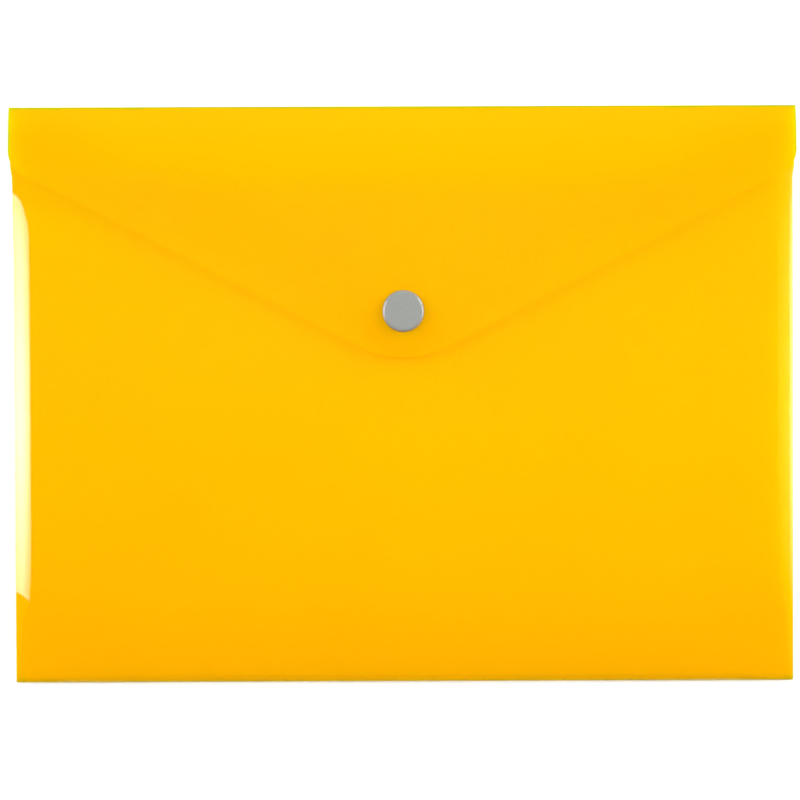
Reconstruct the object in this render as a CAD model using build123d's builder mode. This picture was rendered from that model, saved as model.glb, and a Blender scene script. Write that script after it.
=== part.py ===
from build123d import *
import math
import os

# Document wallet for A5 papers: one creased sheet of clear coloured
# polypropylene, welded along both sides, closed by a plastic press stud.
# It lies on its back: X across the wallet, +Y towards the top crease, +Z out
# of the front. All lengths in millimetres.

# ---------------------------------------------------------------- dimensions
SHEET = 0.20                # sheet thickness

# outline, seen from the front
HALF_H = 88.5               # bottom fold and top crease lie this far from the middle
HALF_W_FOOT = 119.5         # half width at the bottom fold
HALF_W_TRIM = 120.0         # half width where the welded trim ends, near the mouth
HALF_W_EAR = 120.6          # half width just above the end of the trim
HALF_W_FLAP = 121.0         # half width of the crease and of the flap
TRIM_END_Y = 67.5           # height at which the trimmed side steps out
TRIM_STEP = 1.5             # height of that step

# pocket
FOLD_R = 0.60               # outer radius of the bottom fold
FOOT_END_Y = -62.0          # where the rise from the bottom fold ends
PANEL_TOP = 4.60            # outer face of the front panel
MOUTH_Y = 67.7              # cut edge of the mouth
WELD_W = 1.20               # width of a side weld
WELD_TOP = 0.50             # top of a side weld
ROLL_W = 4.00               # width of the rolled side, in plan
ROLL_RISE = 0.28            # vertical thickness of the rolled side
EAR_TOP_Y = 83.5            # top of the two ears beside the mouth
EAR_TOP_Z = 1.20            # outer face of an ear at its top
EAR_IN_FOOT = 84.0          # ear's inner edge where it leaves the mouth
EAR_IN_TOP = 99.0           # ear's inner edge where it meets the ear's top

# flap
CREASE_Z = 0.30             # height of the crease line
CREASE_GAP = 0.20           # back panel stops this far short of the crease line
BEND_Y = 75.5               # line where the flap's rise turns into its flat part
FLAP_UNDER = 7.10           # inner face of the flap's flat part
FLAP_SLOPE = 0.518          # slope of the two cut edges of the V
FLAP_VERTEX_Y = 7.15        # where those two edges would meet
FLAP_CORNER_R = 8.2         # rounding at the two side corners
FLAP_TIP_R = 30.0           # rounding of the tip
BEND_GAP = 0.13             # flat part starts this far past the bend line

# press stud, four moulded pieces on one axis
SNAP_Y = 25.2
CAP_R = 6.40                # visible cap, and the like cap inside the pocket
CAP_H = 1.40
CAP_ROUND = 0.45
REAR_CAP_H = 1.20
POST_R = 1.15               # riveted posts of both caps
POST_HOLE_R = 1.30          # punched hole in the sheet
BORE_R = 1.20               # hole for the post in stud and socket
BASE_R = 5.30               # flange of the stud, and the socket's outside
STUD_FLANGE_H = 0.70
STUD_NECK_R = 2.45
STUD_HEAD_R = 2.75
STUD_HEAD_TOP = 6.50
SOCKET_UNDER = 5.40         # lower face of the socket
SOCKET_WEB = 0.50           # thickness of the web that the cap's post goes through
SOCKET_BORE_R = 3.20
SOCKET_LIP_R = 3.00
SOCKET_LIP_H = 0.35

os.makedirs("parts", exist_ok=True)

# ------------------------------------------------------------ derived values
FOLD_Y = -HALF_H + FOLD_R                       # where the bottom fold ends
FOOT_Z = 2 * FOLD_R                             # outer face at the start of the rise
TRIM_TAPER = (HALF_W_TRIM - HALF_W_FOOT) / (TRIM_END_Y + HALF_H)


def trim_x(y):
    """Half width of the trimmed side at height y."""
    return HALF_W_FOOT + TRIM_TAPER * (y + HALF_H)


def roll_x(y, z):
    """Distance of the rolled side's outer face from the middle."""
    return trim_x(y) - WELD_W - ROLL_W * (z - WELD_TOP) / (PANEL_TOP - WELD_TOP)


def face_plane(p0, p1, p2):
    """Plane through three points, x along the first two, normal upwards."""
    x_dir = Vector(*p1) - Vector(*p0)
    normal = x_dir.cross(Vector(*p2) - Vector(*p0))
    if normal.Z < 0:
        normal = normal * -1
    return Plane(origin=p0, x_dir=x_dir, z_dir=normal)


def on_plane(plane, points):
    """The same points in the plane's own coordinates."""
    flat = [plane.to_local_coords(Vector(*p)) for p in points]
    return [(v.X, v.Y) for v in flat]


CREASE_Y = HALF_H - SHEET / 2                   # crease line, just inside the outline
BEND_Z = FLAP_UNDER + SHEET / 2                 # bend line, in the middle of the sheet
FLAP_TOP = FLAP_UNDER + SHEET
RISE_LEN = math.hypot(CREASE_Y - BEND_Y, BEND_Z - CREASE_Z)
RISE_ANGLE = math.degrees(math.atan2(BEND_Z - CREASE_Z, CREASE_Y - BEND_Y))
print("crease line y, z:", CREASE_Y, CREASE_Z)
print("bend line y, z:", BEND_Y, BEND_Z)
print("rise length, angle:", round(RISE_LEN, 3), round(RISE_ANGLE, 3))

# ------------------------------------------------------------------ back panel
# Flat panel that the wallet rests on. Its sides are trimmed with the welds and
# step out to the full width near the crease.
with BuildPart() as back_panel:
    with BuildSketch():
        with BuildLine():
            Polyline(
                (-trim_x(FOLD_Y), FOLD_Y),
                (trim_x(FOLD_Y), FOLD_Y),
                (HALF_W_TRIM, TRIM_END_Y),
                (HALF_W_EAR, TRIM_END_Y + TRIM_STEP),
                (HALF_W_FLAP, CREASE_Y - CREASE_GAP),
                (-HALF_W_FLAP, CREASE_Y - CREASE_GAP),
                (-HALF_W_EAR, TRIM_END_Y + TRIM_STEP),
                (-HALF_W_TRIM, TRIM_END_Y),
                close=True,
            )
        make_face()
    extrude(amount=SHEET)
back_panel.part.label = "back_panel"
export_step(back_panel.part, "parts/back_panel.step")

# ----------------------------------------------------------------- bottom fold
# The sheet turns over itself here, from the back panel to the front.
with BuildPart() as bottom_fold:
    with BuildSketch(Plane.YZ.offset(-trim_x(FOLD_Y))):
        with BuildLine():
            outer_turn = CenterArc((FOLD_Y, FOLD_R), FOLD_R, 90, 180)
            inner_turn = CenterArc((FOLD_Y, FOLD_R), FOLD_R - SHEET, 90, 180)
            Line(outer_turn @ 0, inner_turn @ 0)
            Line(outer_turn @ 1, inner_turn @ 1)
        make_face()
    extrude(amount=2 * trim_x(FOLD_Y))
bottom_fold.part.label = "bottom_fold"
export_step(bottom_fold.part, "parts/bottom_fold.step")

# ----------------------------------------------------------------- front panel
# The front is four flat areas of the same sheet: the foot that rises from the
# bottom fold, the level panel, and the two ears that fall away towards the
# crease on both sides of the mouth.
foot_points = [
    (-roll_x(FOLD_Y, FOOT_Z), FOLD_Y, FOOT_Z - SHEET),
    (roll_x(FOLD_Y, FOOT_Z), FOLD_Y, FOOT_Z - SHEET),
    (roll_x(FOOT_END_Y, PANEL_TOP), FOOT_END_Y, PANEL_TOP - SHEET),
    (-roll_x(FOOT_END_Y, PANEL_TOP), FOOT_END_Y, PANEL_TOP - SHEET),
]
foot_plane = face_plane(foot_points[0], foot_points[1], foot_points[2])
with BuildPart() as front_foot:
    with BuildSketch(foot_plane):
        with BuildLine():
            Polyline(*on_plane(foot_plane, foot_points), close=True)
        make_face()
    extrude(amount=SHEET, dir=(0, 0, 1))
front_foot.part.label = "front_foot"
export_step(front_foot.part, "parts/front_foot.step")

with BuildPart() as front_panel:
    with BuildSketch(Plane.XY.offset(PANEL_TOP - SHEET)):
        with BuildLine():
            Polyline(
                (-roll_x(FOOT_END_Y, PANEL_TOP), FOOT_END_Y),
                (roll_x(FOOT_END_Y, PANEL_TOP), FOOT_END_Y),
                (roll_x(MOUTH_Y, PANEL_TOP), MOUTH_Y),
                (-roll_x(MOUTH_Y, PANEL_TOP), MOUTH_Y),
                close=True,
            )
        make_face()
        with Locations((0, SNAP_Y)):
            Circle(POST_HOLE_R, mode=Mode.SUBTRACT)
    extrude(amount=SHEET)
front_panel.part.label = "front_panel"
export_step(front_panel.part, "parts/front_panel.step")

# Ear on the right of the mouth, drawn on its own falling plane; the left ear
# is its mirror image.
ear_plane = face_plane(
    (0, MOUTH_Y, PANEL_TOP - SHEET),
    (1, MOUTH_Y, PANEL_TOP - SHEET),
    (0, EAR_TOP_Y, EAR_TOP_Z - SHEET),
)
ear_points = on_plane(ear_plane, [
    (EAR_IN_FOOT, MOUTH_Y, PANEL_TOP - SHEET),
    (roll_x(MOUTH_Y, PANEL_TOP), MOUTH_Y, PANEL_TOP - SHEET),
    (roll_x(EAR_TOP_Y, EAR_TOP_Z), EAR_TOP_Y, EAR_TOP_Z - SHEET),
    (EAR_IN_TOP, EAR_TOP_Y, EAR_TOP_Z - SHEET),
])
ear_mid_x = 0.5 * (EAR_IN_FOOT + EAR_IN_TOP)
ear_mid_y = 0.5 * ear_points[2][1]
with BuildPart() as right_mouth_ear:
    with BuildSketch(ear_plane):
        with BuildLine():
            Polyline(ear_points[0], ear_points[1], ear_points[2], ear_points[3])
            Spline(
                ear_points[3],
                (ear_mid_x, ear_mid_y),
                ear_points[0],
                tangents=[(-1, 0), (-1, 0)],
            )
        make_face()
    extrude(amount=SHEET, dir=(0, 0, 1))
right_mouth_ear.part.label = "right_mouth_ear"
export_step(right_mouth_ear.part, "parts/right_mouth_ear.step")

with BuildPart() as left_mouth_ear:
    mirror(right_mouth_ear.part, about=Plane.YZ)
left_mouth_ear.part.label = "left_mouth_ear"
export_step(left_mouth_ear.part, "parts/left_mouth_ear.step")

# ------------------------------------------------------- rolled sides and welds
# On each side the front rolls down to a narrow weld on the back panel.
roll_points = [
    (trim_x(FOLD_Y) - WELD_W, FOLD_Y, WELD_TOP - ROLL_RISE),
    (trim_x(EAR_TOP_Y) - WELD_W, EAR_TOP_Y, WELD_TOP - ROLL_RISE),
    (roll_x(EAR_TOP_Y, EAR_TOP_Z), EAR_TOP_Y, EAR_TOP_Z - ROLL_RISE),
    (roll_x(MOUTH_Y, PANEL_TOP), MOUTH_Y, PANEL_TOP - ROLL_RISE),
    (roll_x(FOOT_END_Y, PANEL_TOP), FOOT_END_Y, PANEL_TOP - ROLL_RISE),
    (roll_x(FOLD_Y, FOOT_Z), FOLD_Y, FOOT_Z - ROLL_RISE),
]
roll_plane = face_plane(roll_points[0], roll_points[1], roll_points[3])
with BuildPart() as right_side_roll:
    with BuildSketch(roll_plane):
        with BuildLine():
            Polyline(*on_plane(roll_plane, roll_points), close=True)
        make_face()
    extrude(amount=ROLL_RISE, dir=(0, 0, 1))
right_side_roll.part.label = "right_side_roll"
export_step(right_side_roll.part, "parts/right_side_roll.step")

with BuildPart() as left_side_roll:
    mirror(right_side_roll.part, about=Plane.YZ)
left_side_roll.part.label = "left_side_roll"
export_step(left_side_roll.part, "parts/left_side_roll.step")

ear_trim_x = HALF_W_EAR + (HALF_W_FLAP - HALF_W_EAR) * (
    (EAR_TOP_Y - TRIM_END_Y - TRIM_STEP) / (CREASE_Y - CREASE_GAP - TRIM_END_Y - TRIM_STEP)
)
with BuildPart() as right_side_weld:
    with BuildSketch(Plane.XY.offset(SHEET)):
        with BuildLine():
            Polyline(
                (trim_x(FOLD_Y) - WELD_W, FOLD_Y),
                (trim_x(FOLD_Y), FOLD_Y),
                (HALF_W_TRIM, TRIM_END_Y),
                (HALF_W_EAR, TRIM_END_Y + TRIM_STEP),
                (ear_trim_x, EAR_TOP_Y),
                (trim_x(EAR_TOP_Y) - WELD_W, EAR_TOP_Y),
                close=True,
            )
        make_face()
    extrude(amount=WELD_TOP - SHEET)
right_side_weld.part.label = "right_side_weld"
export_step(right_side_weld.part, "parts/right_side_weld.step")

with BuildPart() as left_side_weld:
    mirror(right_side_weld.part, about=Plane.YZ)
left_side_weld.part.label = "left_side_weld"
export_step(left_side_weld.part, "parts/left_side_weld.step")

# ------------------------------------------------------------------------ flap
# The flap rises from the crease, then lies level over the mouth and the snap.
# Both ends of the rise are round about the lines that they turn on.
with BuildPart() as flap_root:
    with BuildSketch(Plane.YZ.offset(-HALF_W_FLAP)):
        with Locations(((CREASE_Y + BEND_Y) / 2, (CREASE_Z + BEND_Z) / 2)):
            SlotCenterToCenter(RISE_LEN, SHEET, rotation=-RISE_ANGLE)
    extrude(amount=2 * HALF_W_FLAP)
flap_root.part.label = "flap_root"
export_step(flap_root.part, "parts/flap_root.step")

flap_side_y = FLAP_VERTEX_Y + FLAP_SLOPE * HALF_W_FLAP
with BuildPart() as flap_panel:
    with BuildSketch(Plane.XY.offset(FLAP_UNDER)) as flap_outline:
        with BuildLine():
            Polyline(
                (-HALF_W_FLAP, BEND_Y - BEND_GAP),
                (HALF_W_FLAP, BEND_Y - BEND_GAP),
                (HALF_W_FLAP, flap_side_y),
                (0, FLAP_VERTEX_Y),
                (-HALF_W_FLAP, flap_side_y),
                close=True,
            )
        make_face()
        corners = flap_outline.vertices().sort_by(Axis.Y)
        fillet(corners[1:3], radius=FLAP_CORNER_R)
        fillet(flap_outline.vertices().sort_by(Axis.Y)[0], radius=FLAP_TIP_R)
        with Locations((0, SNAP_Y)):
            Circle(POST_HOLE_R, mode=Mode.SUBTRACT)
    extrude(amount=SHEET)
flap_panel.part.label = "flap_panel"
export_step(flap_panel.part, "parts/flap_panel.step")

# ------------------------------------------------------------------ press stud
# Each piece is turned about the snap's axis. The sketches are drawn as radius
# and height on a plane through that axis.
snap_plane = Plane(origin=(0, SNAP_Y, 0), x_dir=(1, 0, 0), z_dir=(0, -1, 0))
snap_axis = Axis((0, SNAP_Y, 0), (0, 0, 1))

# Cap on the outside of the flap, with the post that goes through the flap and
# is riveted over inside the socket.
cap_post_end = FLAP_UNDER - SOCKET_WEB + 0.05
with BuildPart() as snap_cap:
    with BuildSketch(snap_plane):
        with BuildLine():
            Polyline(
                (0, cap_post_end),
                (POST_R, cap_post_end),
                (POST_R, FLAP_TOP),
                (CAP_R, FLAP_TOP),
                (CAP_R, FLAP_TOP + CAP_H),
                (0, FLAP_TOP + CAP_H),
                close=True,
            )
        make_face()
    revolve(axis=snap_axis)
    fillet(
        snap_cap.edges().filter_by(GeomType.CIRCLE).group_by(Axis.Z)[-1],
        radius=CAP_ROUND,
    )
snap_cap.part.label = "snap_cap"
export_step(snap_cap.part, "parts/snap_cap.step")

# Socket under the flap: a ring with a lip at its mouth and a web on the flap.
with BuildPart() as snap_socket:
    with BuildSketch(snap_plane):
        with BuildLine():
            Polyline(
                (SOCKET_LIP_R + 0.15, SOCKET_UNDER),
                (BASE_R, SOCKET_UNDER),
                (BASE_R, FLAP_UNDER),
                (BORE_R, FLAP_UNDER),
                (BORE_R, FLAP_UNDER - SOCKET_WEB),
                (SOCKET_BORE_R, FLAP_UNDER - SOCKET_WEB),
                (SOCKET_BORE_R, SOCKET_UNDER + SOCKET_LIP_H + 0.15),
                (SOCKET_LIP_R, SOCKET_UNDER + SOCKET_LIP_H),
                (SOCKET_LIP_R, SOCKET_UNDER + 0.15),
                close=True,
            )
        make_face()
    revolve(axis=snap_axis)
snap_socket.part.label = "snap_socket"
export_step(snap_socket.part, "parts/snap_socket.step")

# Stud on the front panel: a flange with a waisted button.
flange_top = PANEL_TOP + STUD_FLANGE_H
with BuildPart() as snap_stud:
    with BuildSketch(snap_plane):
        with BuildLine():
            Polyline(
                (BORE_R, PANEL_TOP),
                (BASE_R, PANEL_TOP),
                (BASE_R, flange_top),
                (STUD_NECK_R, flange_top),
                (STUD_NECK_R, flange_top + 0.45),
                (STUD_HEAD_R, flange_top + 0.70),
                (STUD_HEAD_R, STUD_HEAD_TOP - 0.25),
                (STUD_HEAD_R - 0.30, STUD_HEAD_TOP),
                (BORE_R, STUD_HEAD_TOP),
                close=True,
            )
        make_face()
    revolve(axis=snap_axis)
snap_stud.part.label = "snap_stud"
export_step(snap_stud.part, "parts/snap_stud.step")

# Cap inside the pocket, whose post goes up through the front panel and is
# riveted over in the stud.
rear_under = PANEL_TOP - SHEET - REAR_CAP_H
with BuildPart() as snap_rear_cap:
    with BuildSketch(snap_plane):
        with BuildLine():
            Polyline(
                (0, rear_under),
                (CAP_R, rear_under),
                (CAP_R, PANEL_TOP - SHEET),
                (POST_R, PANEL_TOP - SHEET),
                (POST_R, STUD_HEAD_TOP - 0.10),
                (0, STUD_HEAD_TOP - 0.10),
                close=True,
            )
        make_face()
    revolve(axis=snap_axis)
    fillet(
        snap_rear_cap.edges().filter_by(GeomType.CIRCLE).group_by(Axis.Z)[0],
        radius=CAP_ROUND,
    )
snap_rear_cap.part.label = "snap_rear_cap"
export_step(snap_rear_cap.part, "parts/snap_rear_cap.step")
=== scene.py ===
import math

import bmesh
import bpy
import numpy as np
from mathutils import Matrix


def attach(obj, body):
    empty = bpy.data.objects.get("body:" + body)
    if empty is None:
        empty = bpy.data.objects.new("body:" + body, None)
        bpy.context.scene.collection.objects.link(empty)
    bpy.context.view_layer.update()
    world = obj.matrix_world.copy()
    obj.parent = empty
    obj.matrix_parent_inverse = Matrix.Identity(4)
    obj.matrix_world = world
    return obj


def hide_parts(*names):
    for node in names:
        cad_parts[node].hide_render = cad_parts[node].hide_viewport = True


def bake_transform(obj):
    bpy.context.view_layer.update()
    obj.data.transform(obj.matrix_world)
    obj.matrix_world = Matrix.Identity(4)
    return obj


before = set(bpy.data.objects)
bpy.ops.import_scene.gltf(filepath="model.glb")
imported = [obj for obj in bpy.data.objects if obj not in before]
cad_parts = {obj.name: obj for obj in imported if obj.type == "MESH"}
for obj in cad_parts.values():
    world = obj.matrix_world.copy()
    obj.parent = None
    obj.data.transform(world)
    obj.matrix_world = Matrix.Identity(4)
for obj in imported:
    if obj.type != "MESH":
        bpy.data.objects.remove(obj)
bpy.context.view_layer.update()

# Lengths below are in millimetres, in the frame of the CAD model, and turn into
# metres when a mesh is made.
MM = 0.001
SHEET = 0.20            # sheet thickness
LAP = 0.22              # distance between the middles of two layers that touch
HALF_H = 88.5           # outline: bottom fold and top crease
FLAP_X = 121.0          # half width of the flap
PANEL_Z = 4.50          # middle of the front sheet where it is level
FLAP_Z = 7.20           # middle of the flap where it is level
MOUTH_Y = 67.7          # cut edge of the mouth
EAR_Y = 83.5            # top of the ears beside the mouth
SNAP_Y = 25.2           # the press stud's axis
BEAD = 0.16             # the sheets end this far inside the welded bead's outside


def ease(t):
    t = np.clip(t, 0.0, 1.0)
    return t * t * (3.0 - 2.0 * t)


def smooth_min(a, b, k):
    h = np.clip(0.5 + 0.5 * (b - a) / k, 0.0, 1.0)
    return b * (1.0 - h) + a * h - k * h * (1.0 - h)


def climb(at, degrees, step=0.01):
    """Heights gained along a line whose slope in degrees is given at some points."""
    s = np.arange(at[0], at[-1] + step, step)
    rise = np.tan(np.radians(np.interp(s, at, degrees)))
    z = np.concatenate([[0.0], np.cumsum(0.5 * (rise[1:] + rise[:-1]) * step)])
    return s, z


# ----------------------------------------------------------------- sheet meshes
def new_object(name, verts, faces, material, smooth_angle=35.0):
    mesh = bpy.data.meshes.new(name)
    mesh.from_pydata([tuple(v) for v in (np.asarray(verts) * MM)], [], faces)
    mesh.validate()
    bm = bmesh.new()
    bm.from_mesh(mesh)
    bmesh.ops.recalc_face_normals(bm, faces=bm.faces)
    bm.to_mesh(mesh)
    bm.free()
    mesh.polygons.foreach_set("use_smooth", [True] * len(mesh.polygons))
    mesh.set_sharp_from_angle(angle=math.radians(smooth_angle))
    mesh.materials.append(material)
    obj = bpy.data.objects.new(name, mesh)
    bpy.context.scene.collection.objects.link(obj)
    return obj


def shell(name, mid, material, rim_material, rim, thickness=SHEET):
    """A closed thin sheet about a grid of points in its middle. The faces about the
    points where rim is true, and all the faces of the cut edge, have the rim's material."""
    nu, nv = mid.shape[:2]
    du = np.gradient(mid, axis=0)
    dv = np.gradient(mid, axis=1)
    n = np.cross(du, dv)
    n /= np.linalg.norm(n, axis=2, keepdims=True)
    a = (mid + n * thickness / 2).reshape(-1, 3)
    b = (mid - n * thickness / 2).reshape(-1, 3)
    verts = np.concatenate([a, b])
    off = nu * nv

    def k(i, j):
        return i * nv + j

    # faces in the rim's material get a darker copy of the sheet: painted shade
    faces, shaded_faces = [], []
    for i in range(nu - 1):
        for j in range(nv - 1):
            q = (k(i, j), k(i + 1, j), k(i + 1, j + 1), k(i, j + 1))
            faces.append(q)
            faces.append(tuple(off + v for v in reversed(q)))
            shaded_faces += [int(rim[i:i + 2, j:j + 2].all())] * 2
    for i in range(nu - 1):
        for j in (0, nv - 1):
            p, q = k(i, j), k(i + 1, j)
            faces.append((p, q, off + q, off + p))
    for j in range(nv - 1):
        for i in (0, nu - 1):
            p, q = k(i, j), k(i, j + 1)
            faces.append((p, q, off + q, off + p))
    shaded_faces += [1] * (len(faces) - len(shaded_faces))
    obj = new_object(name, verts, faces, material)
    obj.data.materials.append(rim_material)
    obj.data.polygons.foreach_set("material_index", shaded_faces)
    return obj


def turned(name, profile, material, centre=(0.0, SNAP_Y), steps=128, smooth_angle=32.0):
    """A closed turned piece from (radius, height) points that start and end on the axis,
    or that close on themselves when none lies on it."""
    ring = [tuple(p) for p in profile]
    open_ends = ring[0][0] < 1e-9 and ring[-1][0] < 1e-9
    verts, rows = [], []
    for r, z in ring:
        if r < 1e-9:
            rows.append([len(verts)])
            verts.append((centre[0], centre[1], z))
        else:
            first = len(verts)
            for s in range(steps):
                t = 2 * math.pi * s / steps
                verts.append((centre[0] + r * math.cos(t), centre[1] + r * math.sin(t), z))
            rows.append(list(range(first, first + steps)))
    faces = []
    pairs = list(zip(rows, rows[1:]))
    if not open_ends:
        pairs.append((rows[-1], rows[0]))
    for p, q in pairs:
        for s in range(steps):
            t = (s + 1) % steps
            if len(p) == 1 and len(q) == 1:
                continue
            if len(p) == 1:
                faces.append((p[0], q[t], q[s]))
            elif len(q) == 1:
                faces.append((p[s], p[t], q[0]))
            else:
                faces.append((p[s], p[t], q[t], q[s]))
    return new_object(name, verts, faces, material, smooth_angle)


def arc(cx, cz, r, a0, a1, n):
    return [
        (cx + r * math.cos(math.radians(t)), cz + r * math.sin(math.radians(t)))
        for t in np.linspace(a0, a1, n)
    ]


# -------------------------------------------------------------------- materials
def clear_tree(name):
    m = bpy.data.materials.new(name)
    m.use_nodes = True
    m.node_tree.nodes.clear()
    return m, m.node_tree.nodes, m.node_tree.links


def make_sheet_material(name, low, high, cloudy, through):
    m, nodes, links = clear_tree(name)
    out = nodes.new("ShaderNodeOutputMaterial")
    coat = nodes.new("ShaderNodeBsdfPrincipled")
    glow = nodes.new("ShaderNodeBsdfTranslucent")
    clear = nodes.new("ShaderNodeBsdfTransparent")
    add_glow = nodes.new("ShaderNodeAddShader")
    add_clear = nodes.new("ShaderNodeAddShader")
    coord = nodes.new("ShaderNodeTexCoord")

    # faint clouding of the colour in the extruded sheet
    cloud = nodes.new("ShaderNodeTexNoise")
    cloud.inputs["Scale"].default_value = 18.0
    cloud.inputs["Detail"].default_value = 3.0
    tint = nodes.new("ShaderNodeValToRGB")
    tint.color_ramp.elements[0].position = 0.30
    tint.color_ramp.elements[0].color = low
    tint.color_ramp.elements[1].position = 0.70
    tint.color_ramp.elements[1].color = high
    links.new(coord.outputs["Object"], cloud.inputs["Vector"])
    links.new(cloud.outputs["Fac"], tint.inputs["Fac"])
    links.new(tint.outputs["Color"], coat.inputs["Base Color"])
    coat.inputs["IOR"].default_value = 1.49

    # handling haze varies the gloss
    haze = nodes.new("ShaderNodeTexNoise")
    haze.inputs["Scale"].default_value = 55.0
    haze.inputs["Detail"].default_value = 5.0
    gloss = nodes.new("ShaderNodeMapRange")
    gloss.inputs["From Min"].default_value = 0.3
    gloss.inputs["From Max"].default_value = 0.75
    gloss.inputs["To Min"].default_value = 0.03
    gloss.inputs["To Max"].default_value = 0.055
    links.new(coord.outputs["Object"], haze.inputs["Vector"])
    links.new(haze.outputs["Fac"], gloss.inputs["Value"])
    links.new(gloss.outputs["Result"], coat.inputs["Roughness"])

    # a trace of orange peel from the polished rollers
    peel = nodes.new("ShaderNodeTexNoise")
    peel.inputs["Scale"].default_value = 900.0
    peel.inputs["Detail"].default_value = 2.0
    bump = nodes.new("ShaderNodeBump")
    bump.inputs["Strength"].default_value = 0.05
    bump.inputs["Distance"].default_value = 0.00002
    links.new(coord.outputs["Object"], peel.inputs["Vector"])
    links.new(peel.outputs["Fac"], bump.inputs["Height"])
    links.new(bump.outputs["Normal"], coat.inputs["Normal"])

    # clear, cloudy and reflected shares of the light that meets each face
    glow.inputs["Color"].default_value = cloudy
    clear.inputs["Color"].default_value = through
    links.new(coat.outputs["BSDF"], add_glow.inputs[0])
    links.new(glow.outputs["BSDF"], add_glow.inputs[1])
    links.new(add_glow.outputs["Shader"], add_clear.inputs[0])
    links.new(clear.outputs["BSDF"], add_clear.inputs[1])
    links.new(add_clear.outputs["Shader"], out.inputs["Surface"])
    return m


def make_snap_material(name):
    m, nodes, links = clear_tree(name)
    out = nodes.new("ShaderNodeOutputMaterial")
    body = nodes.new("ShaderNodeBsdfPrincipled")
    coord = nodes.new("ShaderNodeTexCoord")
    grain = nodes.new("ShaderNodeTexNoise")
    grain.inputs["Scale"].default_value = 1500.0
    grain.inputs["Detail"].default_value = 4.0
    tint = nodes.new("ShaderNodeValToRGB")
    tint.color_ramp.elements[0].position = 0.35
    tint.color_ramp.elements[0].color = (0.256, 0.262, 0.247, 1.0)
    tint.color_ramp.elements[1].position = 0.68
    tint.color_ramp.elements[1].color = (0.285, 0.293, 0.274, 1.0)
    bump = nodes.new("ShaderNodeBump")
    bump.inputs["Strength"].default_value = 0.25
    bump.inputs["Distance"].default_value = 0.00002
    rough = nodes.new("ShaderNodeMapRange")
    rough.inputs["To Min"].default_value = 0.18
    rough.inputs["To Max"].default_value = 0.28
    links.new(coord.outputs["Object"], grain.inputs["Vector"])
    links.new(grain.outputs["Fac"], tint.inputs["Fac"])
    links.new(grain.outputs["Fac"], bump.inputs["Height"])
    links.new(grain.outputs["Fac"], rough.inputs["Value"])
    links.new(tint.outputs["Color"], body.inputs["Base Color"])
    links.new(rough.outputs["Result"], body.inputs["Roughness"])
    links.new(bump.outputs["Normal"], body.inputs["Normal"])
    links.new(body.outputs["BSDF"], out.inputs["Surface"])
    return m


sheet_mat = make_sheet_material(
    "amber_sheet",
    (0.238, 0.2005, 0.0001, 1.0), (0.244, 0.2065, 0.0001, 1.0),
    (0.252, 0.215, 0.0001, 1.0), (0.503, 0.430, 0.001, 1.0),
)
# a darker copy of the sheet: painted shade along the cut edges, the bottom fold and the welded beads
edge_shade_mat = make_sheet_material(
    "amber_edge_shade",
    (0.210, 0.196, 0.0001, 1.0), (0.215, 0.202, 0.0001, 1.0),
    (0.223, 0.210, 0.0001, 1.0), (0.447, 0.422, 0.001, 1.0),
)
# a still darker copy of the sheet: painted shade along the flap's crease and free sides
crease_shade_mat = make_sheet_material(
    "amber_crease_shade",
    (0.178, 0.196, 0.0001, 1.0), (0.183, 0.202, 0.0001, 1.0),
    (0.190, 0.210, 0.0001, 1.0), (0.380, 0.422, 0.001, 1.0),
)
snap_mat = make_snap_material("grey_snap")

# ------------------------------------------------------- shape of the pocket
# Half width of the body: trimmed with the weld up to just under the mouth,
# untrimmed and a little wider above. The two sides were not trimmed quite alike.
def trim_x(y, sign):
    left = np.interp(y, [-HALF_H, 0.0, 40.0, 58.0, 66.0], [119.5, 119.7, 119.85, 120.2, 120.35])
    right = np.interp(y, [-HALF_H, 20.0, 66.0], [119.65, 119.95, 120.0])
    return np.where(sign < 0.0, left, right)


def edge_x(y, sign):
    wide = np.where(sign < 0.0, 121.0, 120.6) + 0.0 * y
    return trim_x(y, sign) + (wide - trim_x(y, sign)) * ease((y - 65.6) / 5.0)


# Rolled sides: slope of the front sheet at a distance from the body's edge, as a
# share of the pocket's depth. The two sides are rolled a little differently.
def share(at, degrees):
    d, h = climb(at, degrees)
    return d, h / h[-1]


left_d, left_h = share(
    [0.0, 1.0, 1.2, 1.35, 1.6, 2.5, 3.35, 4.4, 5.45, 6.5, 7.9, 10.3, 16.0, 30.0, 240.0],
    [41.0, 41.0, 43.0, 39.0, 41.0, 38.0, 32.5, 24.0, 15.5, 9.0, 5.0, 3.0, 1.2, 0.0, 0.0],
)
right_d, right_h = share(
    [0.0, 0.4, 0.8, 1.4, 2.0, 2.6, 3.2, 3.85, 4.5, 5.2, 6.2, 7.6, 10.0, 16.0, 30.0, 240.0],
    [44.5, 44.0, 43.0, 41.0, 38.5, 35.5, 32.0, 27.0, 21.5, 15.5, 9.0, 5.0, 3.0, 1.2, 0.0, 0.0],
)
# near the mouth the roll gives way to a wide, gentle rise
wide_d, wide_h = share([0.0, 4.0, 14.0, 30.0, 44.0, 240.0], [6.0, 9.0, 9.0, 4.0, 0.0, 0.0])
ROLL_Z = 0.52           # middle of the front sheet at the body's edge

# Foot: slope of the front sheet above the bottom fold.
foot_y, foot_h = climb(
    [-HALF_H, -87.3, -86.0, -80.0, -72.0, -66.0, -60.0, -54.0, 90.0],
    [40.0, 26.0, 11.0, 7.5, 5.0, 2.5, 0.5, 0.0, 0.0],
)
FOLD_Z = 1.10           # middle of the front sheet where it leaves the bottom fold


def back_z(d, y):
    """Middle of the back sheet; its edges lift to meet the front in the weld."""
    lift = 0.20 * (1.0 - ease((d - 0.3) / 4.5))
    return SHEET / 2 + lift * ease((90.0 - y) / 8.0)


def rolled(d, sign):
    """Share of the pocket's depth that the front sheet has gained at a distance d."""
    return np.where(sign < 0.0, np.interp(d, left_d, left_h), np.interp(d, right_d, right_h))


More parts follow.
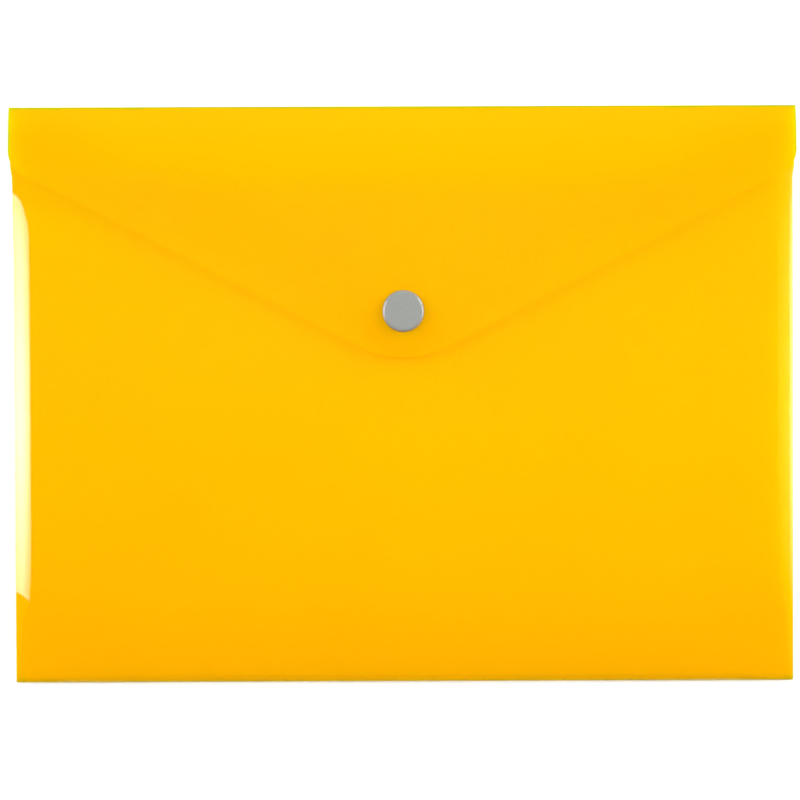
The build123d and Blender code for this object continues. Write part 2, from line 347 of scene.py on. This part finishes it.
def fold_r(d, sign):
    """Bend radius of the bottom fold, pressed flat towards the welded sides."""
    return 0.5 * (ROLL_Z + (FOLD_Z - ROLL_Z) * rolled(d, sign) - back_z(d, -HALF_H))


def front_z(x, y, d, sign):
    depth = FOLD_Z + np.interp(y, foot_y, foot_h) * (PANEL_Z - FOLD_Z) / foot_h[-1] - ROLL_Z
    k = np.where(
        sign < 0.0,
        np.interp(
            y, [41.0, 45.7, 50.4, 53.4, 55.3, 56.8, 58.4, 60.0, 62.7, 64.5, 70.0, 84.0],
            [1.0, 0.93, 0.69, 0.547, 0.42, 0.355, 0.315, 0.29, 0.26, 0.22, 0.18, 0.15],
        ),
        np.interp(y, [60.0, 67.0, 71.0, 75.0, 84.0], [1.0, 0.93, 0.60, 0.38, 0.25]),
    )
    # towards the bottom corners the roll gets narrower and lower
    low = np.where(
        sign < 0.0,
        np.interp(y, [-88.0, -76.0, -70.0, -64.0, -58.0, -50.0], [0.52, 0.55, 0.65, 0.82, 0.94, 1.0]),
        np.interp(y, [-88.0, -76.0, -70.0, -64.0, -58.0, -50.0], [0.42, 0.42, 0.46, 0.64, 0.82, 1.0]),
    )
    k = np.minimum(k, low)
    z = ROLL_Z + depth * (k * rolled(d / low, sign) + (1.0 - k) * np.interp(d, wide_d, wide_h))
    # the ears beside the mouth sink towards the crease
    g = ease((np.abs(x) - 76.0) / 26.0)
    drop = 3.25 * np.clip((y - 58.0) / (EAR_Y - 58.0), 0.0, 1.0) ** 1.6
    ear = PANEL_Z - g * drop
    z = smooth_min(z, ear, 0.05 + 0.5 * g * ease((y - 50.0) / 8.0))
    # slow waves of a thin sheet, none around the press stud
    calm = 1.0 - np.exp(-((x / 26.0) ** 2 + ((y - SNAP_Y) / 26.0) ** 2))
    flat = ease((d - 5.0) / 12.0) * ease((y + 84.0) / 18.0)
    wave = (
        0.045 * np.sin(x / 27.0 + 0.6) * np.sin(y / 19.0 + 1.1)
        + 0.03 * np.sin(x / 11.0 - y / 31.0 + 2.0)
    )
    z = z + wave * calm * flat * (1.0 - 0.6 * g)
    return np.maximum(z, back_z(d, y) + LAP)


def mouth_top(x):
    """Cut edge of the mouth: level in the middle, rising to an ear on each side."""
    t = np.clip((np.abs(x) - 82.5) / 17.5, 0.0, 1.0)
    s = t * t * t * (t * (6.0 * t - 15.0) + 10.0)
    top = MOUTH_Y + (EAR_Y - MOUTH_Y) * s
    return top - 0.9 * ease((np.abs(x) - 116.5) / 4.0)


# Columns across the sheet, by distance from the edge, closer where it bends.
half = np.concatenate([
    np.array([BEAD, 0.4, 0.65, 0.85, 1.0, 1.1, 1.2, 1.28, 1.35, 1.45, 1.6]),
    np.arange(1.75, 8.1, 0.25),
    np.array([8.5, 9.0, 9.6, 10.3, 11.1, 12.0, 13.0, 14.0, 15.0, 16.0, 17.0, 18.0, 19.0]),
    np.arange(20.0, 39.1, 1.0),
    np.arange(41.5, 118.0, 2.5),
])
cols = np.concatenate([half, [120.0], half[::-1]])
side_sign = np.concatenate([-np.ones(len(half)), [0.0], np.ones(len(half))])


def across(d, sign, y):
    """x of a column at height y: true distance from the edge near the sides."""
    near = edge_x(y, sign) - d
    far = 120.0 - d
    w = ease((d - 30.0) / 60.0)
    return sign * ((1.0 - w) * near + w * far)


def pocket_grid():
    D, S = cols[:, None], side_sign[:, None]
    parts = []
    # back panel, from the crease down to the bottom fold
    u = np.linspace(0.0, 1.0, 46)[None, :]
    y_end = -HALF_H + SHEET / 2 + fold_r(D, S)
    y = np.concatenate([
        88.40 + 0.0 * D, 88.28 + 0.0 * D, 88.12 + 0.0 * D, 87.85 + 0.0 * D,
        87.4 + (y_end - 87.4) * u,
    ], axis=1)
    x = across(D, S, y)
    # the sheet turns up into the crease over its last millimetre
    z = back_z(D, y) + 0.11 * ease((y - 87.4) / 1.0) + 0.0 * x
    parts.append(np.stack([x, y + 0.0 * x, z], axis=2))
    # bottom fold
    t = np.radians(np.linspace(-90.0, -270.0, 13))[None, 1:-1]
    r = fold_r(D, S)
    y = y_end + r * np.cos(t)
    z = back_z(D, y_end) + r + r * np.sin(t)
    x = across(D, S, y_end) + 0.0 * t
    parts.append(np.stack([x, y + 0.0 * x, z + 0.0 * x], axis=2))
    # front, from the bottom fold up to the mouth
    v = np.concatenate([
        np.linspace(0.0, 0.035, 8)[:-1],
        np.linspace(0.035, 0.20, 22)[:-1],
        np.linspace(0.20, 0.80, 46)[:-1],
        np.linspace(0.80, 0.985, 30)[:-1],
        np.linspace(0.985, 1.0, 4),
    ])[None, :]
    x0 = across(D, S, 60.0 + 0.0 * D)
    y = y_end + (mouth_top(x0) - y_end) * v
    x = across(D, S, y)
    d = np.broadcast_to(D, x.shape)
    z = front_z(x, y, d, np.broadcast_to(S, x.shape))
    parts.append(np.stack([x, y, z], axis=2))
    return np.concatenate(parts, axis=1)


grid = pocket_grid()
# the bottom fold and every cut edge of the pocket take the darker copy: painted shade
pocket = shell("pocket_sheet", grid, sheet_mat, edge_shade_mat, grid[:, :, 1] < -HALF_H + 1.3)
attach(pocket, "pocket")
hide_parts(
    "back_panel", "bottom_fold", "front_foot", "front_panel",
    "left_mouth_ear", "right_mouth_ear", "left_side_roll", "right_side_roll",
)


# Welded beads along both sides, where the hot knife fused and cut the layers.
def bead(name, sign):
    ys = np.concatenate([
        np.linspace(-HALF_H + 0.12, -84.0, 12)[:-1],
        np.linspace(-84.0, EAR_Y - 1.2, 150),
    ])
    n = 14
    mid = np.zeros((len(ys), n, 3))
    for a in range(n):
        t = 2 * math.pi * a / n
        rx = 0.25 + 0.012 * np.sin(ys * 0.9) * np.sin(ys * 0.23)
        rz = 0.25
        zc = back_z(0.25, ys) + LAP / 2 + 0.02
        end = np.minimum(1.0, np.minimum(ys - ys[0], ys[-1] - ys) / 0.35 + 0.25)
        xc = sign * (trim_x(ys, sign) - 0.26)
        mid[:, a, 0] = xc + rx * math.cos(t) * end
        mid[:, a, 1] = ys
        mid[:, a, 2] = zc + rz * math.sin(t) * end
    m, verts, faces = len(ys), mid.reshape(-1, 3), []
    for i in range(m - 1):
        for a in range(n):
            b = (a + 1) % n
            faces.append((i * n + a, i * n + b, (i + 1) * n + b, (i + 1) * n + a))
    faces.append(tuple(range(n)))
    faces.append(tuple(reversed(range((m - 1) * n, m * n))))
    # the whole bead takes the darker copy of the sheet: painted shade
    return new_object(name, verts, faces, edge_shade_mat, 60.0)


beads = []
for name, sign, node in (
    ("left_weld_bead", -1.0, "left_side_weld"),
    ("right_weld_bead", 1.0, "right_side_weld"),
):
    piece = bead(name, sign)
    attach(piece, "pocket")
    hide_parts(node)
    beads.append(piece)

# ---------------------------------------------------------------------- flap
# It springs up from the crease and flattens out over the mouth.
rise_y, rise_h = climb([0.0, 1.0, 4.0, 24.0, 100.0], [31.0, 31.0, 28.5, 0.0, 0.0])
CREASE_Y, CREASE_Z = 88.4, 0.30
rise_h = CREASE_Z + rise_h * (FLAP_Z - CREASE_Z) / rise_h[-1]


def flap_low(x):
    """Cut edge of the flap: a wide V with a rounded tip and rounded side corners."""
    a = np.abs(x)
    y = 7.15 + 0.518 * a
    tip = 40.935 - np.sqrt(np.maximum(900.0 - a * a, 0.0))
    y = np.where(a < 13.80, tip, y)
    corner = 74.815 - np.sqrt(np.maximum(8.2 ** 2 - (a - 112.8) ** 2, 0.0))
    return np.where(a > 116.57, corner, y)


def flap_z(x, y):
    z = np.interp(CREASE_Y - y, rise_y, rise_h)
    # the free sides droop towards the pocket
    df = FLAP_X - np.abs(x)
    sag = 2.4 * ease((CREASE_Y - y) / 15.0) * np.clip(1.0 - df / 28.0, 0.0, 1.0) ** 2
    calm = 1.0 - np.exp(-((x / 24.0) ** 2 + ((y - SNAP_Y) / 20.0) ** 2))
    wave = 0.05 * np.sin(x / 23.0 + 0.4) * np.sin(y / 17.0) + 0.03 * np.sin(x / 9.5 + y / 21.0)
    # the V's edges hang towards the pocket, except where the press stud holds the sheet
    off = (y - 7.15 - 0.518 * np.abs(x)) / 1.126
    held = ease((np.hypot(x, y - SNAP_Y) - 6.6) / 9.0)
    hang = 1.35 * held * (1.0 - ease((off + 2.0) / 32.0)) * ease((CREASE_Y - y) / 22.0)
    return z - sag - hang + wave * calm * ease((CREASE_Y - y) / 20.0)


def flap_grid():
    q = np.linspace(0.0, 1.0, 42)
    edge = np.concatenate([
        FLAP_X - 8.2 * (1.0 - np.cos(np.linspace(0.0, math.pi / 2, 26)))[:-1],
        np.linspace(112.8, 17.0, 50)[:-1],
        np.linspace(17.0, 0.0, 22)[:-1],
    ])
    xs = np.concatenate([-edge, [0.0], edge[::-1]])[:, None]
    v = np.concatenate([
        np.linspace(0.0, 0.5, 46)[:-1],
        np.linspace(0.5, 0.97, 34)[:-1],
        np.linspace(0.97, 1.0, 5),
    ])[None, :]
    low = flap_low(xs)
    # rows run level near the crease and follow the cut edge further down
    y = CREASE_Y + (low - CREASE_Y) * v
    x = xs + 0.0 * v
    z = flap_z(x, y)
    # the sheet was cut a little off centre
    x = x - np.where(x < 0.0, 0.30, 0.05) * ease((np.abs(x) - 80.0) / 40.0)
    return np.stack([x, y, z], axis=2)


grid = flap_grid()
# the flap's crease and free sides take the still darker copy: painted shade
flap = shell(
    "flap_sheet", grid, sheet_mat, crease_shade_mat,
    (np.abs(grid[:, :, 0] + 0.12) > FLAP_X - 0.62) | (grid[:, :, 1] > CREASE_Y - 0.9),
)
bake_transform(flap)
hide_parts("flap_root", "flap_panel")

# ---------------------------------------------------------------- press stud
CAP_TOP, CAP_BASE = 8.70, 7.30
cap_profile = (
    [(0.0, CAP_TOP - 0.02), (3.0, CAP_TOP - 0.02), (5.2, CAP_TOP - 0.01), (5.62, CAP_TOP)]
    + [(5.72, CAP_TOP - 0.02), (5.84, CAP_TOP - 0.09), (5.98, CAP_TOP - 0.20)]
    + [(6.12, CAP_TOP - 0.33), (6.24, CAP_TOP - 0.48), (6.33, CAP_TOP - 0.65)]
    + [(6.38, CAP_TOP - 0.84), (6.40, 7.70), (6.40, 7.62)]
    + arc(6.22, 7.50, 0.18, 0.0, -60.0, 5)
    + [(6.10, CAP_BASE), (1.15, CAP_BASE), (1.15, 6.72)]
    + arc(1.05, 6.72, 0.10, 0.0, -90.0, 4)
    + [(0.0, 6.60)]
)
cap = turned("snap_cap_disc", cap_profile, snap_mat)
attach(cap, "flap")
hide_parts("snap_cap")

socket_profile = (
    [(1.22, 7.10), (1.22, 6.60), (3.20, 6.60), (3.20, 5.95)]
    + [(3.00, 5.75), (3.00, 5.58)]
    + arc(3.18, 5.58, 0.18, 180.0, 270.0, 5)
    + [(3.75, 5.40), (3.85, 5.52), (4.15, 5.52), (4.25, 5.40)]
    + arc(5.00, 5.70, 0.30, -90.0, 0.0, 7)
    + arc(5.18, 6.98, 0.12, 0.0, 90.0, 4)
)
socket = turned("snap_socket_ring", socket_profile, snap_mat)
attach(socket, "flap")
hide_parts("snap_socket")

stud_profile = (
    [(1.22, 4.60)]
    + arc(5.18, 4.72, 0.12, -90.0, 0.0, 4)
    + arc(5.00, 5.00, 0.30, 0.0, 90.0, 7)
    + [(3.30, 5.30), (2.75, 5.33)]
    + arc(2.75, 5.63, 0.30, -95.0, -180.0, 6)
    + [(2.45, 5.75), (2.72, 6.02)]
    + arc(2.45, 6.20, 0.30, -20.0, 90.0, 8)
    + [(1.55, 6.50), (1.40, 6.38), (1.22, 6.38)]
)
stud = turned("snap_stud_button", stud_profile, snap_mat)
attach(stud, "pocket")
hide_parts("snap_stud")

rear_profile = (
    [(0.0, 3.20), (5.4, 3.20)]
    + arc(5.95, 3.65, 0.45, -90.0, 0.0, 9)
    + [(6.40, 4.25), (6.30, 4.40), (1.15, 4.40), (1.15, 6.30)]
    + arc(1.05, 6.30, 0.10, 0.0, 90.0, 4)
    + [(0.0, 6.40)]
)
rear = turned("snap_rear_disc", rear_profile, snap_mat)
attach(rear, "pocket")
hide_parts("snap_rear_cap")


# -------------------------------------------------------------- floor and light
def quad(name, corners, material):
    mesh = bpy.data.meshes.new(name)
    mesh.from_pydata(corners, [], [(0, 1, 2, 3)])
    mesh.materials.append(material)
    obj = bpy.data.objects.new(name, mesh)
    bpy.context.scene.collection.objects.link(obj)
    return obj


floor_mat, nodes, links = clear_tree("pale_floor")
out = nodes.new("ShaderNodeOutputMaterial")
paint = nodes.new("ShaderNodeBsdfDiffuse")
paint.inputs["Color"].default_value = (0.98, 0.98, 0.98, 1.0)
links.new(paint.outputs["BSDF"], out.inputs["Surface"])
floor = quad("floor", [(-9, -9, -0.00002), (9, -9, -0.00002), (9, 9, -0.00002), (-9, 9, -0.00002)], floor_mat)


def graded(nodes, links, source, stops):
    """A value in 0 to 1 that follows (coordinate, value) stops."""
    span = nodes.new("ShaderNodeMapRange")
    fade = nodes.new("ShaderNodeValToRGB")
    low, high = stops[0][0], stops[-1][0]
    span.inputs["From Min"].default_value = low
    span.inputs["From Max"].default_value = high
    ramp = fade.color_ramp
    for k, (at, g) in enumerate(stops):
        at = (at - low) / (high - low)
        if k == 0:
            e = ramp.elements[0]
        elif k == len(stops) - 1:
            e = ramp.elements[len(ramp.elements) - 1]
        else:
            e = ramp.elements.new(at)
        e.position = at
        e.color = (g, g, g, 1.0)
    links.new(source, span.inputs["Value"])
    links.new(span.outputs["Result"], fade.inputs["Fac"])
    return fade.outputs["Color"]


def panel_light(name, corners, strength, up, along):
    """A soft box seen only in reflections; its glow varies with height and along it."""
    m, nodes, links = clear_tree(name + "_glow")
    out = nodes.new("ShaderNodeOutputMaterial")
    emit = nodes.new("ShaderNodeEmission")
    coord = nodes.new("ShaderNodeTexCoord")
    split = nodes.new("ShaderNodeSeparateXYZ")
    scale = nodes.new("ShaderNodeMapRange")
    scale.inputs["To Max"].default_value = strength
    links.new(coord.outputs["Object"], split.inputs["Vector"])
    links.new(graded(nodes, links, split.outputs["Z"], up), emit.inputs["Color"])
    links.new(graded(nodes, links, split.outputs["Y"], along), scale.inputs["Value"])
    links.new(scale.outputs["Result"], emit.inputs["Strength"])
    links.new(emit.outputs["Emission"], out.inputs["Surface"])
    obj = quad(name, corners, m)
    obj.visible_camera = False
    obj.visible_diffuse = False
    obj.visible_transmission = False
    obj.visible_shadow = False
    return obj


def lights_only(light, *pieces):
    """Keep a light to some of the pieces."""
    group = bpy.data.collections.new(light.name + "_lights")
    for piece in pieces:
        group.objects.link(piece)
    light.light_linking.receiver_collection = group


# a low strip of light close to the left side, seen in the rolled sheet
left_strip = panel_light(
    "left_strip",
    [(-0.1245, -0.0610, 0.0012), (-0.1245, 0.0655, 0.0012), (-0.1245, 0.0570, 0.0164), (-0.1245, -0.0660, 0.0164)],
    18.5,
    [(0.0012, 0.87), (0.0020, 0.86), (0.0029, 0.90), (0.00354, 0.947), (0.0043, 0.985), (0.00584, 0.892),
     (0.00691, 0.824), (0.00871, 0.706), (0.01058, 0.592), (0.0128, 0.504), (0.01479, 0.426), (0.0164, 0.36)],
    [(-0.0660, 0.40), (-0.062, 0.42), (-0.0453, 0.64), (-0.0233, 0.88), (-0.0084, 0.98),
     (0.0119, 0.93), (0.025, 0.80), (0.0409, 0.70), (0.0500, 0.66), (0.0655, 0.62)],
)
lights_only(left_strip, pocket)
# tall soft boxes beside the wallet; the left one lights the small pieces alone
left_softbox = panel_light(
    "left_softbox",
    [(-1.5, -0.35, 0.13), (-1.5, 0.95, 0.13), (-1.5, 0.95, 1.80), (-1.5, -0.50, 1.80)],
    17.5,
    [(0.13, 0.80), (0.20, 0.82), (0.25, 0.88), (0.36, 1.00), (0.51, 0.92), (0.73, 0.80), (1.10, 0.60), (1.80, 0.36)],
    [(-0.50, 0.34), (-0.20, 0.60), (-0.05, 0.90), (-0.016, 1.0), (0.03, 0.93), (0.14, 0.85), (0.40, 0.80), (0.95, 0.70)],
)
lights_only(left_softbox, cap, *beads)
panel_light(
    "right_softbox",
    [(1.5, 0.60, 0.03), (1.5, -0.20, 0.03), (1.5, -0.20, 1.9), (1.5, 0.60, 1.9)],
    12.0,
    [(0.03, 0.66), (0.11, 0.38), (0.204, 0.20), (0.33, 0.135), (0.48, 0.110), (0.667, 0.070),
     (0.973, 0.044), (1.39, 0.022), (1.9, 0.0)],
    [(-0.16, 0.0), (-0.143, 0.08), (-0.129, 0.23), (-0.107, 0.40), (-0.072, 0.70), (-0.037, 1.0),
     (0.068, 1.0), (0.096, 0.9), (0.121, 0.55), (0.149, 0.30), (0.60, 0.1)],
)
# a white card further round to the right, for the rim of the press stud alone
right_card = panel_light(
    "right_card",
    [(1.5, 1.40, 0.15), (1.5, -0.20, 0.15), (1.5, -0.20, 1.2), (1.5, 1.40, 1.2)],
    22.5,
    [(0.15, 1.0), (1.2, 0.8)],
    [(-0.20, 0.7), (0.20, 1.0), (1.40, 0.6)],
)
lights_only(right_card, cap)


def area_light(name, place, aim, width, height, radiance, glossy):
    data = bpy.data.lights.new(name, "AREA")
    data.shape = "RECTANGLE"
    data.size, data.size_y = width, height
    data.energy = radiance * math.pi * width * height
    obj = bpy.data.objects.new(name, data)
    bpy.context.scene.collection.objects.link(obj)
    obj.location = place
    d = np.array(aim, float) - np.array(place, float)
    from mathutils import Vector
    obj.rotation_mode = "QUATERNION"
    obj.rotation_quaternion = Vector(d).to_track_quat("-Z", "Y")
    obj.visible_camera = False
    obj.visible_glossy = glossy
    return obj


area_light("over_light", (0.0, 0.055, 0.40), (0.0, 0.055, 0.0), 1.00, 0.12, 5.05, False)
area_light("centre_light", (0.0, 0.040, 0.16), (0.0, 0.040, 0.0), 0.12, 0.06, 1.15, False)
area_light("left_fill", (-1.3, 0.57, 0.52), (0.0, 0.02, 0.0), 0.60, 0.60, 14.9, False)
area_light("right_fill", (1.3, 0.57, 0.52), (0.0, 0.02, 0.0), 0.60, 0.60, 16.0, False)
area_light("front_fill", (0.0, -1.25, 0.45), (0.0, 0.0, 0.0), 0.60, 0.40, 2.8, False)
right_strip = area_light("right_strip", (0.25, -0.002, 0.020), (0.118, -0.002, 0.004), 0.10, 0.02, 1.6, False)
right_strip.data.spread = math.radians(60.0)

# one more lamp from straight above lights the floor alone
floor_light = area_light("floor_light", (0.0, 0.0, 1.6), (0.0, 0.0, 0.0), 0.5, 0.5, 6.0, False)
lights_only(floor_light, floor)

world = bpy.data.worlds.new("studio")
bpy.context.scene.world = world
world.use_nodes = True
wn, wl = world.node_tree.nodes, world.node_tree.links
wn.clear()
w_out = wn.new("ShaderNodeOutputWorld")
w_bg = wn.new("ShaderNodeBackground")
w_coord = wn.new("ShaderNodeTexCoord")
w_split = wn.new("ShaderNodeSeparateXYZ")
w_ramp = wn.new("ShaderNodeValToRGB")
w_ramp.color_ramp.elements[0].position = 0.0
w_ramp.color_ramp.elements[0].color = (0.35, 0.35, 0.35, 1.0)
w_ramp.color_ramp.elements[1].position = 0.85
w_ramp.color_ramp.elements[1].color = (0.03, 0.03, 0.03, 1.0)
w_bg.inputs["Strength"].default_value = 0.4
wl.new(w_coord.outputs["Generated"], w_split.inputs["Vector"])
wl.new(w_split.outputs["Z"], w_ramp.inputs["Fac"])
wl.new(w_ramp.outputs["Color"], w_bg.inputs["Color"])
wl.new(w_bg.outputs["Background"], w_out.inputs["Surface"])

# ---------------------------------------------------------------------- camera
cam_data = bpy.data.cameras.new("camera")
cam_data.lens = 160.7
cam_data.sensor_width = 36.0
cam_data.dof.use_dof = False
cam = bpy.data.objects.new("camera", cam_data)
bpy.context.scene.collection.objects.link(cam)
cam.location = (-0.0011, -0.0020, 1.1)
cam.rotation_euler = (0.0, 0.0, math.radians(-0.2))
bpy.context.scene.camera = cam

scene = bpy.context.scene
scene.view_settings.view_transform = "Standard"
scene.cycles.caustics_reflective = False
scene.cycles.max_bounces = 24
scene.cycles.diffuse_bounces = 12
scene.cycles.transmission_bounces = 8
scene.cycles.transparent_max_bounces = 24
